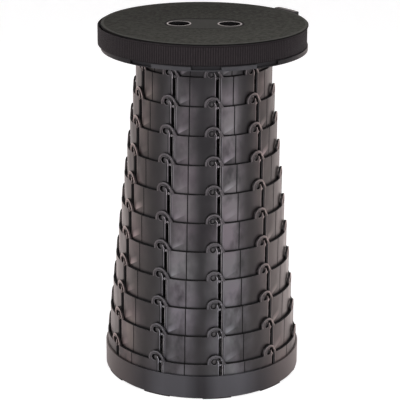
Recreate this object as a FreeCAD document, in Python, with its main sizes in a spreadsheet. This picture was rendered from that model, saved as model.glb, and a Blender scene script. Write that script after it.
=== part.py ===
"""Collapsible telescopic stool: nested plastic rings between a footed base and a round seat.

Millimetres, +Z up, -Y to the front.  The origin is on the floor, on the axis of the rings.
The model stands fully extended.  Angles round the axis are counted from the front towards +X.
"""
import FreeCAD, Part
import math
import os
import Sketcher

# Driving dimensions: alias, value, meaning
SIZES = [
    ("foot_height", 2.0, "thickness of the rubber pads under the base"),
    ("foot_depth", 10.5, "radial depth of a pad"),
    ("foot_span", 16.7, "angle that a pad covers"),
    ("foot_inset", 0.6, "from the rim of the base to a pad"),
    ("foot_shift", 2.0, "angle that a pad lies left of its column's slot"),
    ("ledge_thickness", 2.0, "floor ledge of the base, on which the rings nest"),
    ("ledge_lip", 2.3, "how far the ledge reaches inside the smallest ring"),
    ("collar_wall", 2.4, "wall of the base"),
    ("collar_height", 28.5, "height of the base's wall"),
    ("collar_fit", 0.2, "radial gap between the base and the ring that stands in it"),
    ("nest_gap", 0.4, "gap under the nested rings"),
    ("base_ring_radius", 122.5, "outer radius of the fixed lowest ring"),
    ("ring_step", 3.8, "each ring is this much smaller in radius than the one round it"),
    ("ring_wall", 2.2, "wall of a ring"),
    ("ring_body", 40.6, "height of a ring to its top edge"),
    ("ring_count", 10, "rings that slide"),
    ("stage_travel", 35.5, "how far each ring slides out of the one round it"),
    ("column_count", 10, "columns of tongues and slots"),
    ("column_angle", 11.1, "where the first slot is"),
    ("tongue_height", 12.8, "rise of a tongue above the top edge"),
    ("tongue_radius", 10.0, "rounding of a tongue"),
    ("tongue_left", 16.2, "from the slot to a tongue's upright side"),
    ("tongue_right", 7.2, "from the slot to the end of a tongue's sloping side"),
    ("slot_width", 3.8, "width of a slot"),
    ("slot_start", 9.5, "lower end of a slot above the ring's bottom"),
    ("hook_rise", 8.9, "top of the hooked end of a slot above the top edge"),
    ("finger_top", 5.7, "free end of the snap finger above the top edge"),
    ("finger_root", 1.7, "root of the snap finger above the top edge"),
    ("finger_lean", 1.7, "how far the finger leans over"),
    ("hook_lean", 2.7, "how far the slot's right side leans in at its end"),
    ("hook_shoulder", 3.3, "where that side starts to lean above the top edge"),
    ("pocket_radius", 4.0, "round pocket that takes the peg when the ring is twisted"),
    ("pocket_offset", 7.9, "from the slot to the pocket"),
    ("pocket_rise", 4.2, "pocket's middle above the top edge"),
    ("peg_radius", 1.5, "guide peg"),
    ("peg_drop", 0.9, "peg's middle below the top edge of the ring round it"),
    ("peg_reach", 1.0, "how far a peg enters the wall that it slides in"),
    ("peg_clearance", 0.3, "gap beyond the end of a peg"),
    ("button_radius", 3.2, "detent button seen in the pocket"),
    ("button_height", 0.6, "how far a button stands out at its middle"),
    ("button_drop", 1.6, "how far it sits below the pocket's middle"),
    ("button_shift", 0.6, "how far it sits right of the pocket's middle"),
    ("seam_width", 1.2, "moulded groove between two columns"),
    ("seam_depth", 0.9, "its depth"),
    ("seam_shift", 6.6, "how far it lies off the middle between two slots"),
    ("channel_width", 2.3, "shallow step beside a slot"),
    ("channel_depth", 0.7, "its depth"),
    ("root_depth", 1.3, "how deep pegs and buttons start inside their wall"),
    ("seat_rise", 50.0, "seat top above the top edge of the smallest ring"),
    ("disc_overhang", 2.7, "how far the seat's disc stands out over the strap's groove"),
    ("disc_edge", 2.0, "thickness of the disc's edge"),
    ("disc_chamfer", 0.8, "bevel round the top of the disc"),
    ("seat_dish", 2.2, "how far the seat is dished in the middle"),
    ("dish_flat", 56.0, "radius of the flat in the dish"),
    ("dish_edge", 105.0, "radius where the dish begins"),
    ("lid_thickness", 5.4, "seat lid at its edge"),
    ("shell_plate", 2.6, "plate of the seat shell under the lid"),
    ("rim_clearance", 0.7, "gap between the seat's rim and the lowest ring when nested"),
    ("rim_wall", 1.7, "wall of the rim, whose outside is the strap's groove"),
    ("rim_depth", 31.8, "seat top to the bottom of the rim"),
    ("flange_height", 5.5, "flange below the strap's groove"),
    ("flange_reach", 2.7, "how far the flange stands out of the groove"),
    ("window_floor", 1.2, "what is left of the flange below its windows"),
    ("window_count", 5, "windows round the flange"),
    ("window_span", 14.0, "angle of a window"),
    ("window_angle", 36.0, "where the first window is"),
    ("notch_span", 16.0, "angle of the notch in the flange at the front"),
    ("notch_angle", 1.1, "its middle"),
    ("rib_depth", 14.0, "stiffening ribs under the seat plate"),
    ("rib_thickness", 2.2, "their thickness"),
    ("rib_count", 3, "ribs that cross in the middle"),
    ("rib_angle", 30.0, "angle between two ribs"),
    ("rib_gap", 2.5, "from their ends to the neck's flange"),
    ("neck_flange", 14.0, "width of the neck's flange under the plate"),
    ("finger_hole_radius", 13.3, "bore of a finger hole"),
    ("finger_spacing", 62.5, "distance between the finger holes"),
    ("bezel_wall", 1.0, "sleeve of a finger hole"),
    ("bezel_lip", 0.8, "lip round the top of a sleeve"),
    ("bezel_tail", 1.0, "how far a sleeve passes the plate"),
    ("bezel_fit", 0.2, "gap round a sleeve and round the grip insert"),
    ("insert_length", 96.0, "grip insert"),
    ("insert_width", 57.0, "its width"),
    ("insert_thickness", 1.6, "its thickness"),
    ("insert_drop", 0.2, "how far it lies below the bottom of the dish"),
    ("screw_count", 6, "screws that hold the lid, the shell and the neck together"),
    ("screw_inset", 6.5, "from the inside of the neck's wall to the screws"),
    ("screw_radius", 1.6, "shank"),
    ("screw_fit", 0.1, "gap round a shank"),
    ("screw_bite", 1.9, "how far a screw enters the lid"),
    ("head_radius", 3.4, "screw head"),
    ("head_height", 2.0, "its height"),
    ("strap_thickness", 1.2, "webbing"),
    ("strap_fit", 0.3, "gap under the webbing, and between its layers"),
    ("strap_side", 0.25, "gap above and below the webbing in its groove"),
    ("strap_slack", 4.9, "how far the loop stands off on the left"),
    ("lap_span", 18.0, "angle of the webbing that laps over the strap at the plug"),
    ("fold_width", 1.2, "webbing where it turns up through a buckle slot"),
    ("buckle_angle", 124.5, "where plug and socket meet"),
    ("buckle_gap", 0.4, "from the seat's disc to the buckle"),
    ("buckle_depth", 8.5, "radial thickness of the buckle"),
    ("buckle_height", 29.0, "height of the buckle"),
    ("buckle_wall", 1.6, "wall of the socket"),
    ("socket_span", 11.0, "angle of the socket"),
    ("socket_cavity", 7.6, "angle of its cavity"),
    ("plug_span", 5.5, "angle of the plug's grip"),
    ("prong_span", 6.4, "angle of the prongs"),
    ("prong_gap", 0.4, "gap between the prongs and the cavity"),
    ("prong_width", 4.0, "height of a prong"),
    ("prong_root", 0.5, "angle that the prongs start inside the grip"),
    ("face_gap", 0.15, "angle between plug and socket"),
    ("bar_span", 1.2, "angle of a buckle's end bar"),
    ("eye_span", 1.2, "angle of a buckle's strap eye"),
]

doc = FreeCAD.newDocument("telescopic_stool")
sheet = doc.addObject("Spreadsheet::Sheet", "Sizes")
for row, (alias, value, meaning) in enumerate(SIZES, 1):
    sheet.set("A%d" % row, alias)
    sheet.set("B%d" % row, str(value))
    sheet.set("C%d" % row, meaning)
    sheet.setAlias("B%d" % row, alias)
doc.recompute()

# Sums of driving dimensions that several pieces share
NEST_FLOOR = "(Sizes.foot_height + Sizes.ledge_thickness + Sizes.nest_gap)"
TOP_RING_EDGE = "(" + NEST_FLOOR + " + Sizes.ring_body + Sizes.ring_count * Sizes.stage_travel)"
SEAT_TOP = "(" + TOP_RING_EDGE + " + Sizes.seat_rise)"
COLUMN_STEP = "(360 / Sizes.column_count)"
RING_GAP = "(Sizes.ring_step - Sizes.ring_wall)"
HALF_SLOT = "(Sizes.slot_width / 2)"
PEG_LEVEL = "(Sizes.ring_body - Sizes.peg_drop - Sizes.stage_travel)"
BUTTON_LEVEL = "(Sizes.ring_body + Sizes.pocket_rise - Sizes.button_drop - Sizes.stage_travel)"
PLATE_UNDER = "(Sizes.lid_thickness + Sizes.shell_plate)"
RECESS_FLOOR = "(Sizes.seat_dish + Sizes.insert_thickness)"
GROOVE_RADIUS = "(Sizes.base_ring_radius + Sizes.rim_clearance + Sizes.rim_wall)"
GROOVE_BOTTOM = "(Sizes.rim_depth - Sizes.flange_height)"
STRAP_INNER = "(" + GROOVE_RADIUS + " + Sizes.strap_fit)"
STRAP_OUTER = "(" + STRAP_INNER + " + Sizes.strap_thickness)"
STRAP_TOP = "(Sizes.disc_edge + Sizes.strap_side)"
STRAP_BOTTOM = "(" + GROOVE_BOTTOM + " - Sizes.strap_side)"
STRAP_LEVEL = "((Sizes.disc_edge + " + GROOVE_BOTTOM + ") / 2)"
SEAT_RADIUS = "(" + GROOVE_RADIUS + " + Sizes.disc_overhang)"
COLLAR_RADIUS = "(Sizes.base_ring_radius + Sizes.collar_fit + Sizes.collar_wall)"
SMALLEST_RING_INNER = "(Sizes.base_ring_radius - Sizes.ring_step * Sizes.ring_count - Sizes.ring_wall)"
NECK_INNER = "(" + SMALLEST_RING_INNER + " - Sizes.ring_step)"
NECK_LIP = "(" + NECK_INNER + " - Sizes.neck_flange)"
SLEEVE_RADIUS = "(Sizes.finger_hole_radius + Sizes.bezel_wall)"
BUCKLE_INNER = "(" + SEAT_RADIUS + " + Sizes.buckle_gap)"
BUCKLE_OUTER = "(" + BUCKLE_INNER + " + Sizes.buckle_depth)"
EYE_MIDDLE = "(Sizes.buckle_angle + Sizes.socket_span - Sizes.bar_span - Sizes.eye_span / 2)"
FOLD_SPAN = "(Sizes.fold_width / " + BUCKLE_INNER + " * 180 / pi)"
SCREW_HOLE = "(Sizes.screw_radius + Sizes.screw_fit)"
HALF_GRIP = "((Sizes.insert_length - Sizes.insert_width) / 2)"
PEG_ROOT = "(Sizes.ring_wall / 3)"

# How far a cut runs past the faces that it opens
MARGIN = "Sizes.ring_wall"

pieces = []


def number(expression):
    """Value of an expression over the sheet."""
    value = sheet.evalExpression(expression)
    return float(getattr(value, "Value", value))


def ring_radius(steps):
    """Outer radius of the ring that lies some steps inside the lowest one."""
    return "(Sizes.base_ring_radius - Sizes.ring_step * %d)" % steps


def new_body(name, height="0", turn="0", across="0"):
    """Body of one sub-part, raised, turned about Z and shifted along X."""
    body = doc.addObject("PartDesign::Body", name)
    body.Label = name
    body.Placement.Rotation.Axis = FreeCAD.Vector(0, 0, 1)
    body.setExpression("Placement.Base.z", height)
    body.setExpression("Placement.Base.x", across)
    body.setExpression("Placement.Rotation.Angle", turn)
    pieces.append(body)
    return body


def origin_part(body, role):
    """Origin plane or axis of a body."""
    return next(item for item in body.Origin.OriginFeatures if item.Role == role)


def new_sketch(body, role, name, offset="0", turn="0", turn_axis=(0, 1, 0), shift="0"):
    """Sketch on an origin plane, moved along its normal, turned, and shifted along its own X."""
    sketch = body.newObject("Sketcher::SketchObject", body.Name + "_" + name)
    sketch.AttachmentSupport = [(origin_part(body, role), "")]
    sketch.MapMode = "FlatFace"
    axis = FreeCAD.Vector(*turn_axis)
    sketch.AttachmentOffset = FreeCAD.Placement(FreeCAD.Vector(), FreeCAD.Rotation(axis, number(turn)))
    sketch.setExpression("AttachmentOffset.Base.x", shift)
    sketch.setExpression("AttachmentOffset.Base.z", offset)
    if turn != "0":
        sketch.setExpression("AttachmentOffset.Rotation.Angle", turn)
    return sketch


def bind(sketch, kind, refs, expression):
    """Constraint whose value follows the sheet."""
    index = sketch.addConstraint(Sketcher.Constraint(kind, *refs, number(expression)))
    sketch.setExpression("Constraints[%d]" % index, expression)


def fix_point(sketch, geometry, point, place):
    """Holds a point of the sketch at a place given by two expressions."""
    bind(sketch, "DistanceX", (-1, 1, geometry, point), place[0])
    bind(sketch, "DistanceY", (-1, 1, geometry, point), place[1])


def line(sketch, start, end):
    """Line between two places given as numbers."""
    ends = [FreeCAD.Vector(x, y, 0) for x, y in (start, end)]
    return sketch.addGeometry(Part.LineSegment(*ends))


def draw_polygon(sketch, corners):
    """Closed polygon through corners given as pairs of expressions."""
    places = [(number(x), number(y)) for x, y in corners]
    following = places[1:] + places[:1]
    sides = [line(sketch, start, end) for start, end in zip(places, following)]
    for side, after in zip(sides, sides[1:] + sides[:1]):
        sketch.addConstraint(Sketcher.Constraint("Coincident", side, 2, after, 1))
    for side, corner in zip(sides, corners):
        fix_point(sketch, side, 1, corner)


def draw_box(sketch, low, high):
    """Rectangle between two opposite corners."""
    draw_polygon(sketch, [low, (high[0], low[1]), high, (low[0], high[1])])


def draw_circle(sketch, centre, radius):
    """Circle about a centre given as a pair of expressions."""
    middle = FreeCAD.Vector(number(centre[0]), number(centre[1]), 0)
    index = sketch.addGeometry(Part.Circle(middle, FreeCAD.Vector(0, 0, 1), number(radius)))
    bind(sketch, "Radius", (index,), radius)
    fix_point(sketch, index, 3, centre)


def draw_long_hole(sketch, half_spacing_left, half_spacing_right, radius):
    """Two half circles joined by straight sides, along the sketch's X axis."""
    left, right, size = number(half_spacing_left), number(half_spacing_right), number(radius)
    up = FreeCAD.Vector(0, 0, 1)
    quarter = math.pi / 2
    circles = [Part.Circle(FreeCAD.Vector(x, 0, 0), up, size) for x in (right, left)]
    right_arc = sketch.addGeometry(Part.ArcOfCircle(circles[0], -quarter, quarter))
    left_arc = sketch.addGeometry(Part.ArcOfCircle(circles[1], quarter, 3 * quarter))
    top = line(sketch, (right, size), (left, size))
    bottom = line(sketch, (left, -size), (right, -size))
    for arc, place in ((right_arc, half_spacing_right), (left_arc, half_spacing_left)):
        fix_point(sketch, arc, 3, (place, "0"))
        bind(sketch, "Radius", (arc,), radius)
        bind(sketch, "DistanceX", (-1, 1, arc, 1), place)
        bind(sketch, "DistanceX", (-1, 1, arc, 2), place)
    chain = [right_arc, top, left_arc, bottom]
    for side, after in zip(chain, chain[1:] + chain[:1]):
        sketch.addConstraint(Sketcher.Constraint("Coincident", side, 2, after, 1))


def pad(body, sketch, length, reverse=False):
    """Adds the sketch's area along its normal, or against it."""
    feature = body.newObject("PartDesign::Pad", sketch.Name + "_pad")
    feature.Profile = sketch
    feature.setExpression("Length", length)
    feature.Reversed = reverse
    feature.Refine = False
    return feature


def pocket(body, sketch, length, forward=True):
    """Cuts the sketch's area along its normal, or against it."""
    feature = body.newObject("PartDesign::Pocket", sketch.Name + "_pocket")
    feature.Profile = sketch
    feature.setExpression("Length", length)
    feature.Reversed = forward
    feature.Refine = False
    return feature


def turned(body, kind, sketch, angle="360", middle=False):
    """Revolution or Groove about the sketch's upright axis."""
    feature = body.newObject("PartDesign::" + kind, sketch.Name + "_" + kind.lower())
    feature.Profile = sketch
    feature.ReferenceAxis = (sketch, ["V_Axis"])
    feature.setExpression("Angle", angle)
    feature.Midplane = middle
    feature.Refine = False
    return feature


def pattern(body, count, originals=None, angle="360"):
    """Repeats features, or the whole shape so far, round the body's Z axis."""
    doc.recompute()
    feature = body.newObject("PartDesign::PolarPattern", body.Name + "_columns")
    if originals:
        feature.Originals = originals
    else:
        feature.TransformMode = "Whole shape"
    feature.Axis = (origin_part(body, "Z_Axis"), [""])
    feature.setExpression("Angle", angle)
    feature.setExpression("Occurrences", count)
    feature.Refine = False
    body.Tip = feature
    return feature


def sector(body, name, corners, angle, kind="Revolution", turn="0", middle=False):
    """Profile of (radius, height) corners swept round Z from the front, or about it."""
    sketch = new_sketch(body, "YZ_Plane", name, turn=turn)
    draw_polygon(sketch, [("-(" + radius + ")", height) for radius, height in corners])
    return turned(body, kind, sketch, angle, middle)


def box_profile(inner, outer, low, high):
    """Corners of a rectangular profile."""
    return [(inner, low), (outer, low), (outer, high), (inner, high)]


def cut_between_tongues(body, radius):
    """Trims the top of a ring's sector down to its edge, all but the tongue."""
    sketch = new_sketch(body, "XZ_Plane", "edge")
    edge = "Sizes.ring_body"
    top = "(Sizes.ring_body + Sizes.tongue_height + " + MARGIN + ")"
    left = "-Sizes.tongue_left"
    middle = ("(Sizes.tongue_radius - Sizes.tongue_left)",
              "(Sizes.ring_body + Sizes.tongue_height - Sizes.tongue_radius)")
    centre = FreeCAD.Vector(number(middle[0]), number(middle[1]), 0)
    circle = Part.Circle(centre, FreeCAD.Vector(0, 0, 1), number("Sizes.tongue_radius"))
    tangent_guess = 0.6
    arc = sketch.addGeometry(Part.ArcOfCircle(circle, tangent_guess, math.pi))
    shoulder = circle.value(tangent_guess)
    foot = (number("Sizes.tongue_right"), number(edge))
    slope = line(sketch, (shoulder.x, shoulder.y), foot)
    outer = [("Sizes.tongue_right", edge), (radius, edge), (radius, top), ("-" + radius, top),
             ("-" + radius, edge), (left, edge)]
    places = [(number(x), number(y)) for x, y in outer]
    sides = [line(sketch, start, end) for start, end in zip(places, places[1:])]
    upright = line(sketch, places[-1], (number(left), centre.y))
    chain = [slope] + sides + [upright]
    for side, after in zip(chain, chain[1:]):
        sketch.addConstraint(Sketcher.Constraint("Coincident", side, 2, after, 1))
    for side, corner in zip(sides + [upright], outer):
        fix_point(sketch, side, 1, corner)
    fix_point(sketch, arc, 3, middle)
    fix_point(sketch, upright, 2, (left, middle[1]))
    sketch.addConstraint(Sketcher.Constraint("Coincident", upright, 2, arc, 2))
    sketch.addConstraint(Sketcher.Constraint("Tangent", arc, 1, slope, 1))
    pocket(body, sketch, radius + " + " + MARGIN)


def cut_slot(body, radius):
    """Slot for the pegs of the next ring, its hooked end, the snap finger and the pocket."""
    sketch = new_sketch(body, "XZ_Plane", "slot")
    edge = "Sizes.ring_body + "
    reach = "-Sizes.pocket_offset"
    draw_polygon(sketch, [
        ("-" + HALF_SLOT, "Sizes.slot_start"),
        (HALF_SLOT, "Sizes.slot_start"),
        (HALF_SLOT, edge + "Sizes.hook_shoulder"),
        (HALF_SLOT + " - Sizes.hook_lean", edge + "Sizes.hook_rise"),
        (reach, edge + "Sizes.hook_rise"),
        (reach, edge + "Sizes.finger_top"),
        ("-" + HALF_SLOT + " - Sizes.finger_lean", edge + "Sizes.finger_top"),
        ("-" + HALF_SLOT, edge + "Sizes.finger_root"),
    ])
    pocket(body, sketch, radius + " + " + MARGIN)
    sketch = new_sketch(body, "XZ_Plane", "pocket")
    draw_circle(sketch, (reach, edge + "Sizes.pocket_rise"), "Sizes.pocket_radius")
    pocket(body, sketch, radius + " + " + MARGIN)


def cut_peg_way(body, radius):
    """Blind groove inside the wall, below the slot, for the next ring's pegs when nested."""
    sketch = new_sketch(body, "XZ_Plane", "way")
    low = PEG_LEVEL + " - Sizes.peg_radius - Sizes.peg_clearance"
    draw_box(sketch, ("-" + HALF_SLOT, low), (HALF_SLOT, "Sizes.slot_start + Sizes.peg_clearance"))
    depth = radius + " - Sizes.ring_wall + Sizes.peg_reach + Sizes.peg_clearance"
    pocket(body, sketch, depth)


def cut_seam(body, radius, length):
    """Moulded groove down the outside, a little off the middle between two slots."""
    turn = COLUMN_STEP + " / 2 - Sizes.seam_shift / " + radius + " * 180 / pi"
    sketch = new_sketch(body, "XY_Plane", "seam", turn=turn, turn_axis=(0, 0, 1))
    draw_box(sketch, ("-Sizes.seam_width / 2", "-" + radius + " - " + MARGIN),
             ("Sizes.seam_width / 2", "Sizes.seam_depth - " + radius))
    pocket(body, sketch, length)


def cut_channel(body, radius):
    """Shallow step down the right of the slot, up to the top edge."""
    sketch = new_sketch(body, "XY_Plane", "channel")
    draw_box(sketch, (HALF_SLOT, "-" + radius + " - " + MARGIN),
             (HALF_SLOT + " + Sizes.channel_width", "Sizes.channel_depth - " + radius))
    pocket(body, sketch, "Sizes.ring_body")


def add_peg(body, radius):
    """Guide peg that rides in the slot of the ring outside."""
    sketch = new_sketch(body, "XZ_Plane", "peg", offset=radius + " - " + PEG_ROOT)
    draw_circle(sketch, ("0", PEG_LEVEL), "Sizes.peg_radius")
    pad(body, sketch, PEG_ROOT + " + " + RING_GAP + " + Sizes.peg_reach")


def add_button(body, radius):
    """Low detent button that shows in the pocket of the ring outside."""
    sketch = new_sketch(body, "XZ_Plane", "button", offset=radius + " - Sizes.root_depth")
    draw_circle(sketch, ("Sizes.button_shift - Sizes.pocket_offset", BUTTON_LEVEL), "Sizes.button_radius")
    pad(body, sketch, "Sizes.root_depth + Sizes.button_height")


def make_ring(name, steps):
    """One ring, some steps in from the lowest: a sector with tongue, slot, peg and button, repeated."""
    radius = ring_radius(steps)
    body = new_body(name, NEST_FLOOR + " + Sizes.stage_travel * %d" % steps, "Sizes.column_angle")
    bottom = "0" if steps else "-Sizes.nest_gap"
    top = "Sizes.ring_body + Sizes.tongue_height"
    wall = box_profile(radius + " - Sizes.ring_wall", radius, bottom, top)
    sector(body, "tube", wall, COLUMN_STEP, middle=True)
    cut_between_tongues(body, radius)
    cut_slot(body, radius)
    cut_peg_way(body, radius)
    cut_seam(body, radius, top)
    cut_channel(body, radius)
    if steps:
        add_peg(body, radius)
        add_button(body, radius)
    pattern(body, "Sizes.column_count")


def drill_screw_holes(body, radius, height, depth, forward, turn="0"):
    """Holes on the screws' circle, from a height in the body."""
    sketch = new_sketch(body, "XY_Plane", "screw_hole", offset=height, turn=turn, turn_axis=(0, 0, 1))
    draw_circle(sketch, (NECK_INNER + " - Sizes.screw_inset", "0"), radius)
    hole = pocket(body, sketch, depth, forward)
    pattern(body, "Sizes.screw_count", [hole])


def make_neck():
    """Cylinder under the seat, which rides in the smallest ring and is screwed to the shell."""
    steps = int(number("Sizes.ring_count")) + 1
    radius = ring_radius(steps)
    length = "(Sizes.seat_rise - " + PLATE_UNDER + " + Sizes.ring_body - Sizes.stage_travel)"
    under_lip = "(" + length + " - Sizes.ring_wall)"
    body = new_body("seat_neck", NEST_FLOOR + " + Sizes.stage_travel * %d" % steps, "Sizes.column_angle")
    corners = [(NECK_INNER, "0"), (radius, "0"), (radius, length), (NECK_LIP, length), (NECK_LIP, under_lip),
               (NECK_INNER, under_lip)]
    sector(body, "tube", corners, COLUMN_STEP, middle=True)
    cut_seam(body, radius, length)
    add_peg(body, radius)
    add_button(body, radius)
    pattern(body, "Sizes.column_count")
    drill_screw_holes(body, SCREW_HOLE, length, "Sizes.ring_wall + " + MARGIN, False, "-Sizes.column_angle")


def make_base():
    """Base: a plain wall round the lowest ring and a ledge under all the nested rings."""
    body = new_body("base_collar", "Sizes.foot_height")
    inside = "(Sizes.base_ring_radius + Sizes.collar_fit)"
    hole = "(" + SMALLEST_RING_INNER + " - Sizes.ledge_lip)"
    sector(body, "wall", [
        (hole, "0"), (COLLAR_RADIUS, "0"), (COLLAR_RADIUS, "Sizes.collar_height"),
        (inside, "Sizes.collar_height"), (inside, "Sizes.ledge_thickness"), (hole, "Sizes.ledge_thickness"),
    ], "360")


def make_foot(index):
    """Rubber pad under the base, below one column of tongues."""
    turn = "Sizes.column_angle - Sizes.foot_shift + %d * " % index + COLUMN_STEP
    body = new_body("foot_pad_%02d" % (index + 1), turn=turn)
    outer = "(" + COLLAR_RADIUS + " - Sizes.foot_inset)"
    sector(body, "pad", box_profile(outer + " - Sizes.foot_depth", outer, "0", "Sizes.foot_height"),
           "Sizes.foot_span", middle=True)


def below(depth):
    """Height of a level given by its depth under the seat top."""
    return "-(" + depth + ")"


def cut_finger_holes(body, radius, depth):
    """Two round holes through a piece of the seat."""
    sketch = new_sketch(body, "XY_Plane", "finger_hole", offset=MARGIN)
    for side in ("-", ""):
        draw_circle(sketch, (side + "Sizes.finger_spacing / 2", "0"), radius)
    pocket(body, sketch, depth + " + 2 * " + MARGIN, False)


def make_shell():
    """Seat shell: plate, rim with the strap's groove, flange with windows, and ribs inside the neck."""
    body = new_body("seat_shell", SEAT_TOP)
    top = below("Sizes.lid_thickness")
    under = below(PLATE_UNDER)
    inside = GROOVE_RADIUS + " - Sizes.rim_wall"
    lip = GROOVE_RADIUS + " + Sizes.flange_reach"
    sector(body, "rim", [
        ("0", under), ("0", top), (GROOVE_RADIUS, top), (GROOVE_RADIUS, below(GROOVE_BOTTOM)),
        (lip, below(GROOVE_BOTTOM)), (lip, below("Sizes.rim_depth")), (inside, below("Sizes.rim_depth")),
        (inside, under),
    ], "360")
    sill = below("Sizes.rim_depth - Sizes.window_floor")
    face = box_profile(GROOVE_RADIUS, lip + " + " + MARGIN, sill, below(GROOVE_BOTTOM + " - " + MARGIN))
    sector(body, "notch", face, "Sizes.notch_span", "Groove", "Sizes.notch_angle", middle=True)
    window = sector(body, "window", face, "Sizes.window_span", "Groove", "Sizes.window_angle", middle=True)
    pattern(body, "Sizes.window_count", [window])
    for index in range(int(number("Sizes.rib_count"))):
        turn = "(%d - (Sizes.rib_count - 1) / 2) * Sizes.rib_angle" % index
        sketch = new_sketch(body, "XY_Plane", "rib_%d" % index, offset=under, turn=turn, turn_axis=(0, 0, 1))
        half = "(" + NECK_LIP + " - Sizes.rib_gap)"
        draw_box(sketch, ("-Sizes.rib_thickness / 2", "-" + half), ("Sizes.rib_thickness / 2", half))
        pad(body, sketch, "Sizes.rib_depth", True)
    cut_finger_holes(body, SLEEVE_RADIUS + " + Sizes.bezel_fit", PLATE_UNDER)
    drill_screw_holes(body, SCREW_HOLE, "0", PLATE_UNDER + " + " + MARGIN, False)


def make_lid():
    """Seat lid: the dished disc people sit on, with a recess for the grip insert."""
    body = new_body("seat_lid", SEAT_TOP)
    sector(body, "disc", [
        ("0", "-Sizes.seat_dish"), ("Sizes.dish_flat", "-Sizes.seat_dish"), ("Sizes.dish_edge", "0"),
        (SEAT_RADIUS + " - Sizes.disc_chamfer", "0"),
        (SEAT_RADIUS, "-Sizes.disc_chamfer"), (SEAT_RADIUS, "-Sizes.disc_edge"),
        (GROOVE_RADIUS, "-Sizes.disc_edge"), (GROOVE_RADIUS, "-Sizes.lid_thickness"),
        ("0", "-Sizes.lid_thickness"),
    ], "360")
    sketch = new_sketch(body, "XY_Plane", "recess", offset="-" + RECESS_FLOOR)
    draw_long_hole(sketch, "-" + HALF_GRIP, HALF_GRIP, "Sizes.insert_width / 2 + Sizes.bezel_fit")
    pocket(body, sketch, RECESS_FLOOR + " + " + MARGIN)
    cut_finger_holes(body, SLEEVE_RADIUS + " + Sizes.bezel_fit", "Sizes.lid_thickness")
    depth = "Sizes.screw_bite + Sizes.screw_fit"
    drill_screw_holes(body, SCREW_HOLE, below("Sizes.lid_thickness"), depth, True)


def make_insert():
    """Smooth oval grip insert between the finger holes."""
    body = new_body("grip_insert", SEAT_TOP)
    sketch = new_sketch(body, "XY_Plane", "oval", offset="-" + RECESS_FLOOR)
    draw_long_hole(sketch, "-" + HALF_GRIP, HALF_GRIP, "Sizes.insert_width / 2")
    pad(body, sketch, "Sizes.insert_thickness - Sizes.insert_drop")
    cut_finger_holes(body, SLEEVE_RADIUS + " + Sizes.bezel_lip + Sizes.bezel_fit", RECESS_FLOOR)


def make_bezel(name, side):
    """Sleeve with a lip that lines one finger hole through insert, lid and shell."""
    body = new_body(name, SEAT_TOP, across=side + "Sizes.finger_spacing / 2")
    bore = "Sizes.finger_hole_radius"
    tail = below(PLATE_UNDER + " + Sizes.bezel_tail")
    under_lip = "-" + RECESS_FLOOR
    top = "-Sizes.seat_dish"
    lip = SLEEVE_RADIUS + " + Sizes.bezel_lip"
    corners = [(bore, tail), (SLEEVE_RADIUS, tail), (SLEEVE_RADIUS, under_lip), (lip, under_lip), (lip, top),
               (bore, top)]
    sector(body, "sleeve", corners, "360")


def make_screws():
    """Pan-head screws from below through the neck's flange and the shell into the lid."""
    body = new_body("seat_screws", SEAT_TOP)
    body.AllowCompound = True
    seat = PLATE_UNDER + " + Sizes.ring_wall"
    crown = below(seat + " + Sizes.head_height")
    tip = below("Sizes.lid_thickness - Sizes.screw_bite")
    sketch = new_sketch(body, "XZ_Plane", "screw", shift=NECK_INNER + " - Sizes.screw_inset")
    draw_polygon(sketch, [
        ("0", crown), ("Sizes.head_radius", crown), ("Sizes.head_radius", below(seat)),
        ("Sizes.screw_radius", below(seat)), ("Sizes.screw_radius", tip), ("0", tip),
    ])
    screw = turned(body, "Revolution", sketch)
    pattern(body, "Sizes.screw_count", [screw])


def strap_band(start_depth, end_depth, inner, outer):
    """Profile of a webbing layer, or of what lies level with it."""
    return box_profile(inner, outer, below(end_depth), below(start_depth))


def make_strap():
    """Webbing loop in the rim's groove, slack on the left, open behind the buckle.

    One end turns up in the socket's eye.
    """
    body = new_body("strap", SEAT_TOP)
    sketch = new_sketch(body, "XY_Plane", "loop", offset=below(STRAP_BOTTOM))
    draw_long_hole(sketch, "-Sizes.strap_slack", "0", STRAP_INNER)
    draw_long_hole(sketch, "-Sizes.strap_slack", "0", STRAP_OUTER)
    pad(body, sketch, STRAP_BOTTOM + " - " + STRAP_TOP)
    opening = strap_band(STRAP_TOP + " - " + MARGIN, STRAP_BOTTOM + " + " + MARGIN,
                         GROOVE_RADIUS + " - " + MARGIN, STRAP_OUTER + " + " + MARGIN)
    start = "(Sizes.buckle_angle - Sizes.face_gap - Sizes.plug_span)"
    span = EYE_MIDDLE + " - " + start
    sector(body, "opening", opening, span, "Groove", start)
    fold = strap_band(STRAP_TOP, STRAP_BOTTOM, STRAP_INNER, BUCKLE_OUTER)
    sector(body, "fold", fold, FOLD_SPAN, turn=EYE_MIDDLE + " - " + FOLD_SPAN)


def make_strap_end():
    """Webbing that laps over the strap before the plug, and turns up in the plug's eye."""
    body = new_body("strap_end", SEAT_TOP)
    inner = "(" + STRAP_OUTER + " + Sizes.strap_fit)"
    end = "(Sizes.buckle_angle - Sizes.face_gap - Sizes.plug_span + Sizes.bar_span + Sizes.eye_span / 2)"
    lap = strap_band(STRAP_TOP, STRAP_BOTTOM, inner, inner + " + Sizes.strap_thickness")
    sector(body, "lap", lap, "Sizes.lap_span", turn=end + " - Sizes.lap_span")
    fold = strap_band(STRAP_TOP, STRAP_BOTTOM, inner, BUCKLE_OUTER)
    sector(body, "fold", fold, FOLD_SPAN, turn=end + " - " + FOLD_SPAN)


def buckle_outside():
    """Profile of the buckle's outside, level with the middle of the strap."""
    half = "Sizes.buckle_height / 2"
    return strap_band(STRAP_LEVEL + " - " + half, STRAP_LEVEL + " + " + half, BUCKLE_INNER, BUCKLE_OUTER)


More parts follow.
